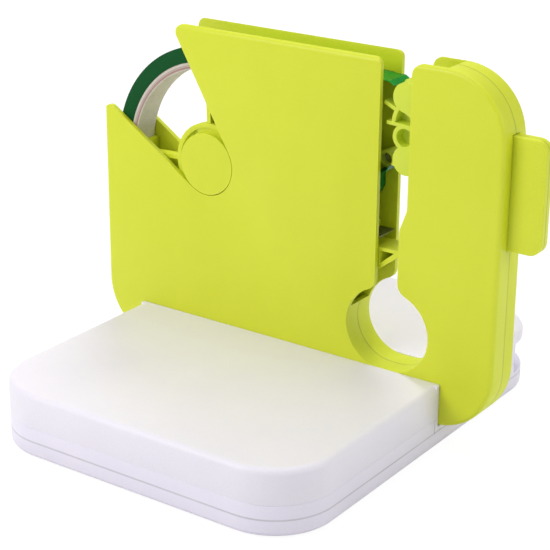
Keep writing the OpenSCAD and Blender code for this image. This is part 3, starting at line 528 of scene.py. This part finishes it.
def rounded_node(node, body, material, width, segments=3):
    """A CAD node shown with rounded edges."""
    piece = merged_copy(node)
    soften(piece, width, segments)
    put_in_place(piece, node, body, material)


def wire_node(node, body, pressed=None):
    """A spring shown with smooth wire; given pressed (a joint and travel), the piece gets its
    own mesh, and the joint and travel are not used.
    """
    piece = merged_copy(node, flat=False)
    bpy.ops.object.mode_set(mode="EDIT")
    bpy.ops.mesh.select_all(action="SELECT")
    bpy.ops.mesh.tris_convert_to_quads(face_threshold=WIRE_QUAD, shape_threshold=WIRE_QUAD)
    bpy.ops.object.mode_set(mode="OBJECT")
    apply_modifier(piece, "SUBSURF", levels=1, render_levels=1)
    bpy.ops.object.shade_smooth()
    put_in_place(piece, node, body, SPRING)
    if pressed:
        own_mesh(piece)


def solids_of(piece):
    """The low and high corner of each separate solid of a piece."""
    select_only(piece)
    bpy.ops.object.duplicate()
    bpy.ops.object.mode_set(mode="EDIT")
    bpy.ops.mesh.select_all(action="SELECT")
    bpy.ops.mesh.separate(type="LOOSE")
    bpy.ops.object.mode_set(mode="OBJECT")
    corners = []
    for part in list(bpy.context.selected_objects):
        spots = [vertex.co for vertex in part.data.vertices]
        low = Vector([min(spot[i] for spot in spots) for i in range(3)])
        high = Vector([max(spot[i] for spot in spots) for i in range(3)])
        corners.append((low, high))
        bpy.data.objects.remove(part)
    return sorted(corners, key=lambda pair: tuple(pair[0]))


def make_driver_tip(span, bar, deep):
    """The tapered cross of a screwdriver, point down, with its middle at the origin."""
    bars = []
    for across, along in ((span, bar), (bar, span)):
        bpy.ops.object.select_all(action="DESELECT")
        bpy.ops.mesh.primitive_cube_add(size=1, scale=(across, along, 2 * deep))
        made = bpy.context.active_object
        bpy.ops.object.transform_apply(location=True, rotation=True, scale=True)
        bpy.ops.object.mode_set(mode="EDIT")
        bpy.ops.mesh.select_all(action="DESELECT")
        bpy.ops.object.mode_set(mode="OBJECT")
        for corner in made.data.vertices:
            corner.select = corner.co.z < 0
        bpy.ops.object.mode_set(mode="EDIT")
        bpy.ops.transform.resize(value=(TIP_TAPER, TIP_TAPER, 1),
                                 center_override=(0, 0, -deep))
        bpy.ops.object.mode_set(mode="OBJECT")
        bars.append(made)
    return bars


def screw_node(node, face_axis, face_sign):
    """Screws shown with a cross recess in each head, on the side that the driver comes from."""
    piece = merged_copy(node)
    up = Vector([face_sign if i == face_axis else 0 for i in range(3)])
    spots = []
    for low, high in solids_of(piece):
        spot = (low + high) / 2
        spot[face_axis] = high[face_axis] if face_sign > 0 else low[face_axis]
        spots.append(spot)
    for bar in DRIVER_TIP:
        copies = []
        for spot in spots:
            copy = bpy.data.objects.new("cutter", bar.data.copy())
            scene.collection.objects.link(copy)
            copy.rotation_mode = "QUATERNION"
            copy.rotation_quaternion = up.to_track_quat("Z", "Y")
            copy.location = spot
            copies.append(copy)
        select_only(*copies)
        bpy.ops.object.transform_apply(location=True, rotation=True, scale=True)
        bpy.ops.object.join()
        apply_modifier(piece, "BOOLEAN", operation="DIFFERENCE", object=copies[0],
                       solver="EXACT")
        bpy.data.objects.remove(copies[0])
    soften(piece, 0.15 * MM, segments=2)
    put_in_place(piece, node, "housing", SCREW)


# ---- floor, lamps, world ----

# How bright the camera sees the paper by itself, and how strong the world lights the object.
PAPER_GLOW = 0.93
SKY_STRENGTH = 0.42


def make_floor():
    """White paper; the camera sees it brighter than it lights the object."""
    bpy.ops.object.select_all(action="DESELECT")
    bpy.ops.mesh.primitive_plane_add(size=8, location=(0, 0, 0))
    floor = bpy.context.active_object
    floor.name = "floor"
    material, s, shader, where = new_material("floor_paper")
    fibre = s.noise(where, 3, 2, 0.5)
    paper = s.mix(fibre, (0.82, 0.82, 0.83, 1), grey(0.86))
    seen = s.add("ShaderNodeLightPath").outputs["Is Camera Ray"]
    s.link(s.mix(seen, paper, grey(0.12)), shader["Base Color"])
    shader["Roughness"].default_value = 0.9
    shader["Specular IOR Level"].default_value = 0.1
    shader["Emission Color"].default_value = grey(1)
    s.link(s.maths("MULTIPLY", seen, PAPER_GLOW), shader["Emission Strength"])
    dress(floor, material)


def area_lamp(name, place, target, size, power, colour=(1, 1, 1), glint=True):
    """A square lamp that faces its target; without glint it leaves no highlight."""
    data = bpy.data.lights.new(name, "AREA")
    data.shape = "SQUARE"
    data.size = size
    data.energy = power
    data.color = colour
    lamp = bpy.data.objects.new(name, data)
    lamp.location = place
    lamp.visible_glossy = glint
    lamp.rotation_mode = "QUATERNION"
    lamp.rotation_quaternion = (Vector(target) - Vector(place)).to_track_quat("-Z", "Y")
    scene.collection.objects.link(lamp)


def make_world():
    """A soft grey light from all sides, which the camera sees as white."""
    world = bpy.data.worlds.new("studio")
    scene.world = world
    world.use_nodes = True
    s = Sheet(world.node_tree)
    soft = world.node_tree.nodes["Background"]
    soft.inputs["Color"].default_value = (0.97, 0.97, 1.0, 1)
    soft.inputs["Strength"].default_value = SKY_STRENGTH
    white = s.add("ShaderNodeBackground")
    white.inputs["Color"].default_value = grey(1)
    white.inputs["Strength"].default_value = 1.0
    seen = s.add("ShaderNodeLightPath").outputs["Is Camera Ray"]
    both = s.add("ShaderNodeMixShader")
    s.link(seen, both.inputs[0])
    s.link(soft.outputs[0], both.inputs[1])
    s.link(white.outputs[0], both.inputs[2])
    s.link(both.outputs[0], world.node_tree.nodes["World Output"].inputs["Surface"])


# ---- the object ----

make_camera()

MOULDED = moulded_group()
WORN_EDGES = worn_edge_group()
JOINT_LINE = joint_group()
WOUND = wound_group()
FILM = film_group()
STEEL = steel_group()
RUBBER = rubber_group()

casing_line = ((0, 1, 0), CASING_JOINT)
base_line = ((0, 0, 1), BASE_JOINT)
CASING = moulded("casing_plastic", (214, 223, 46), (208, 218, 36), rough=0.44, grain=1.0,
                 scatter=0.06, joint=casing_line)
HUB = moulded("hub_plastic", (215, 224, 46), (207, 218, 36), rough=0.44, grain=0.8,
              scatter=0.06)
WHEEL = moulded("wheel_plastic", (212, 226, 64), (204, 220, 54), rough=0.38, grain=0.6,
                scatter=0.08)
BASE = moulded("base_plastic", (235, 231, 240), (230, 226, 236), rough=0.4, grain=0.8,
               scatter=0.05, wear=0.2, joint=base_line)
TRAY = moulded("tray_plastic", (234, 229, 241), (228, 224, 237), rough=0.4, grain=0.8,
               scatter=0.05, wear=0.2, joint=base_line)
WASHER = moulded("washer_plastic", (232, 232, 226), (222, 222, 214), rough=0.4, grain=0.5)
TAPE = wound_tape("tape_green", (6, 84, 36), (2, 68, 28))
LEAD = single_tape("tape_single", (12, 158, 44), (6, 134, 38))
# The cut end is the lead's film made darker: painted shade where it hangs in shadow below the
# wheel.
SHADED_TAIL_FILM = single_tape("tape_cut_end_shaded", (8, 112, 42), (4, 92, 34))
BOARD = board("core_board", (212, 208, 196), (192, 186, 174), (146, 92, 88))
SCREW = steel("screw_steel", (186, 186, 190), rough=0.32, lay=(1, 1, 12))
PIN = steel("pin_steel", (190, 190, 194), rough=0.22, lay=(1, 9, 1))
SPRING = steel("spring_steel", (150, 150, 156), rough=0.3, lay=(9, 1, 1))
BLADE = steel("knife_steel", (140, 142, 104), rough=0.46, lay=(10, 1, 1))
WEIGHT = steel("weight_steel", (112, 112, 116), rough=0.5, lay=(2, 1, 1))
FOOT = rubber("foot_rubber", (176, 174, 172), (150, 148, 146))
PAD = rubber("pad_rubber", (46, 46, 46), (30, 30, 30))

rounded_node("front_shell", "housing", CASING, 0.7 * MM)
rounded_node("rear_shell", "housing", CASING, 0.7 * MM)
rounded_node("base_top", "housing", BASE, 0.5 * MM)
rounded_node("base_tray", "housing", TRAY, 0.5 * MM)
rounded_node("tape_hub", "spool", HUB, 0.12 * MM, segments=2)
rounded_node("hub_cap", "spool", HUB, 0.4 * MM)
rounded_node("star_wheel", "wheel", WHEEL, 0.3 * MM)
rounded_node("pinch_roller", "roller", WHEEL, 0.3 * MM)
rounded_node("press_slide", "press", CASING, 1.8 * MM, segments=5)
rounded_node("gate_lever", "gate", HUB, 0.3 * MM)
rounded_node("knife_clamp", "housing", CASING, 0.4 * MM)
rounded_node("press_pad", "press", PAD, 0.4 * MM)
rounded_node("rubber_feet", "housing", FOOT, 0.5 * MM)
rounded_node("tape_core", "spool", BOARD, 0.2 * MM)
rounded_node("tape_roll", "spool", TAPE, 0.2 * MM)
rounded_node("wheel_washers", "housing", WASHER, 0.15 * MM)
rounded_node("ballast_plate", "housing", WEIGHT, 0.4 * MM)

DRIVER_TIP = make_driver_tip(span=2.7 * MM, bar=0.6 * MM, deep=1.1 * MM)
screw_node("shell_screws", face_axis=1, face_sign=1)
screw_node("base_screws", face_axis=2, face_sign=-1)
screw_node("casing_screws", face_axis=2, face_sign=-1)
screw_node("knife_screws", face_axis=2, face_sign=1)
for bar in DRIVER_TIP:
    bpy.data.objects.remove(bar)

wire_node("press_spring", "housing", ("press_stroke", PRESS_TRAVEL))
wire_node("gate_spring", "housing")

for node, material in (("wheel_axle", PIN), ("roller_post", PIN), ("gate_pin", PIN),
                       ("knife", BLADE), ("tape_web", LEAD), ("tape_lead", LEAD),
                       ("tape_tail", SHADED_TAIL_FILM)):
    dress(nodes[node], material)

make_floor()
make_world()
area_lamp("key", (-0.6, -1.1, 0.95), (0, 0, 0.06), size=0.9, power=12.4,
          colour=(1.0, 0.99, 0.98))
area_lamp("rim", (1.15, 0.3, 0.5), (0, 0, 0.08), size=0.8, power=4.0)
area_lamp("top", (0.0, 0.25, 1.3), (0, 0, 0), size=1.2, power=5.5)
area_lamp("back", (-0.6, 0.9, 0.9), (0, 0.06, 0.03), size=0.5, power=8, glint=False)
scene.view_settings.view_transform = "Standard"
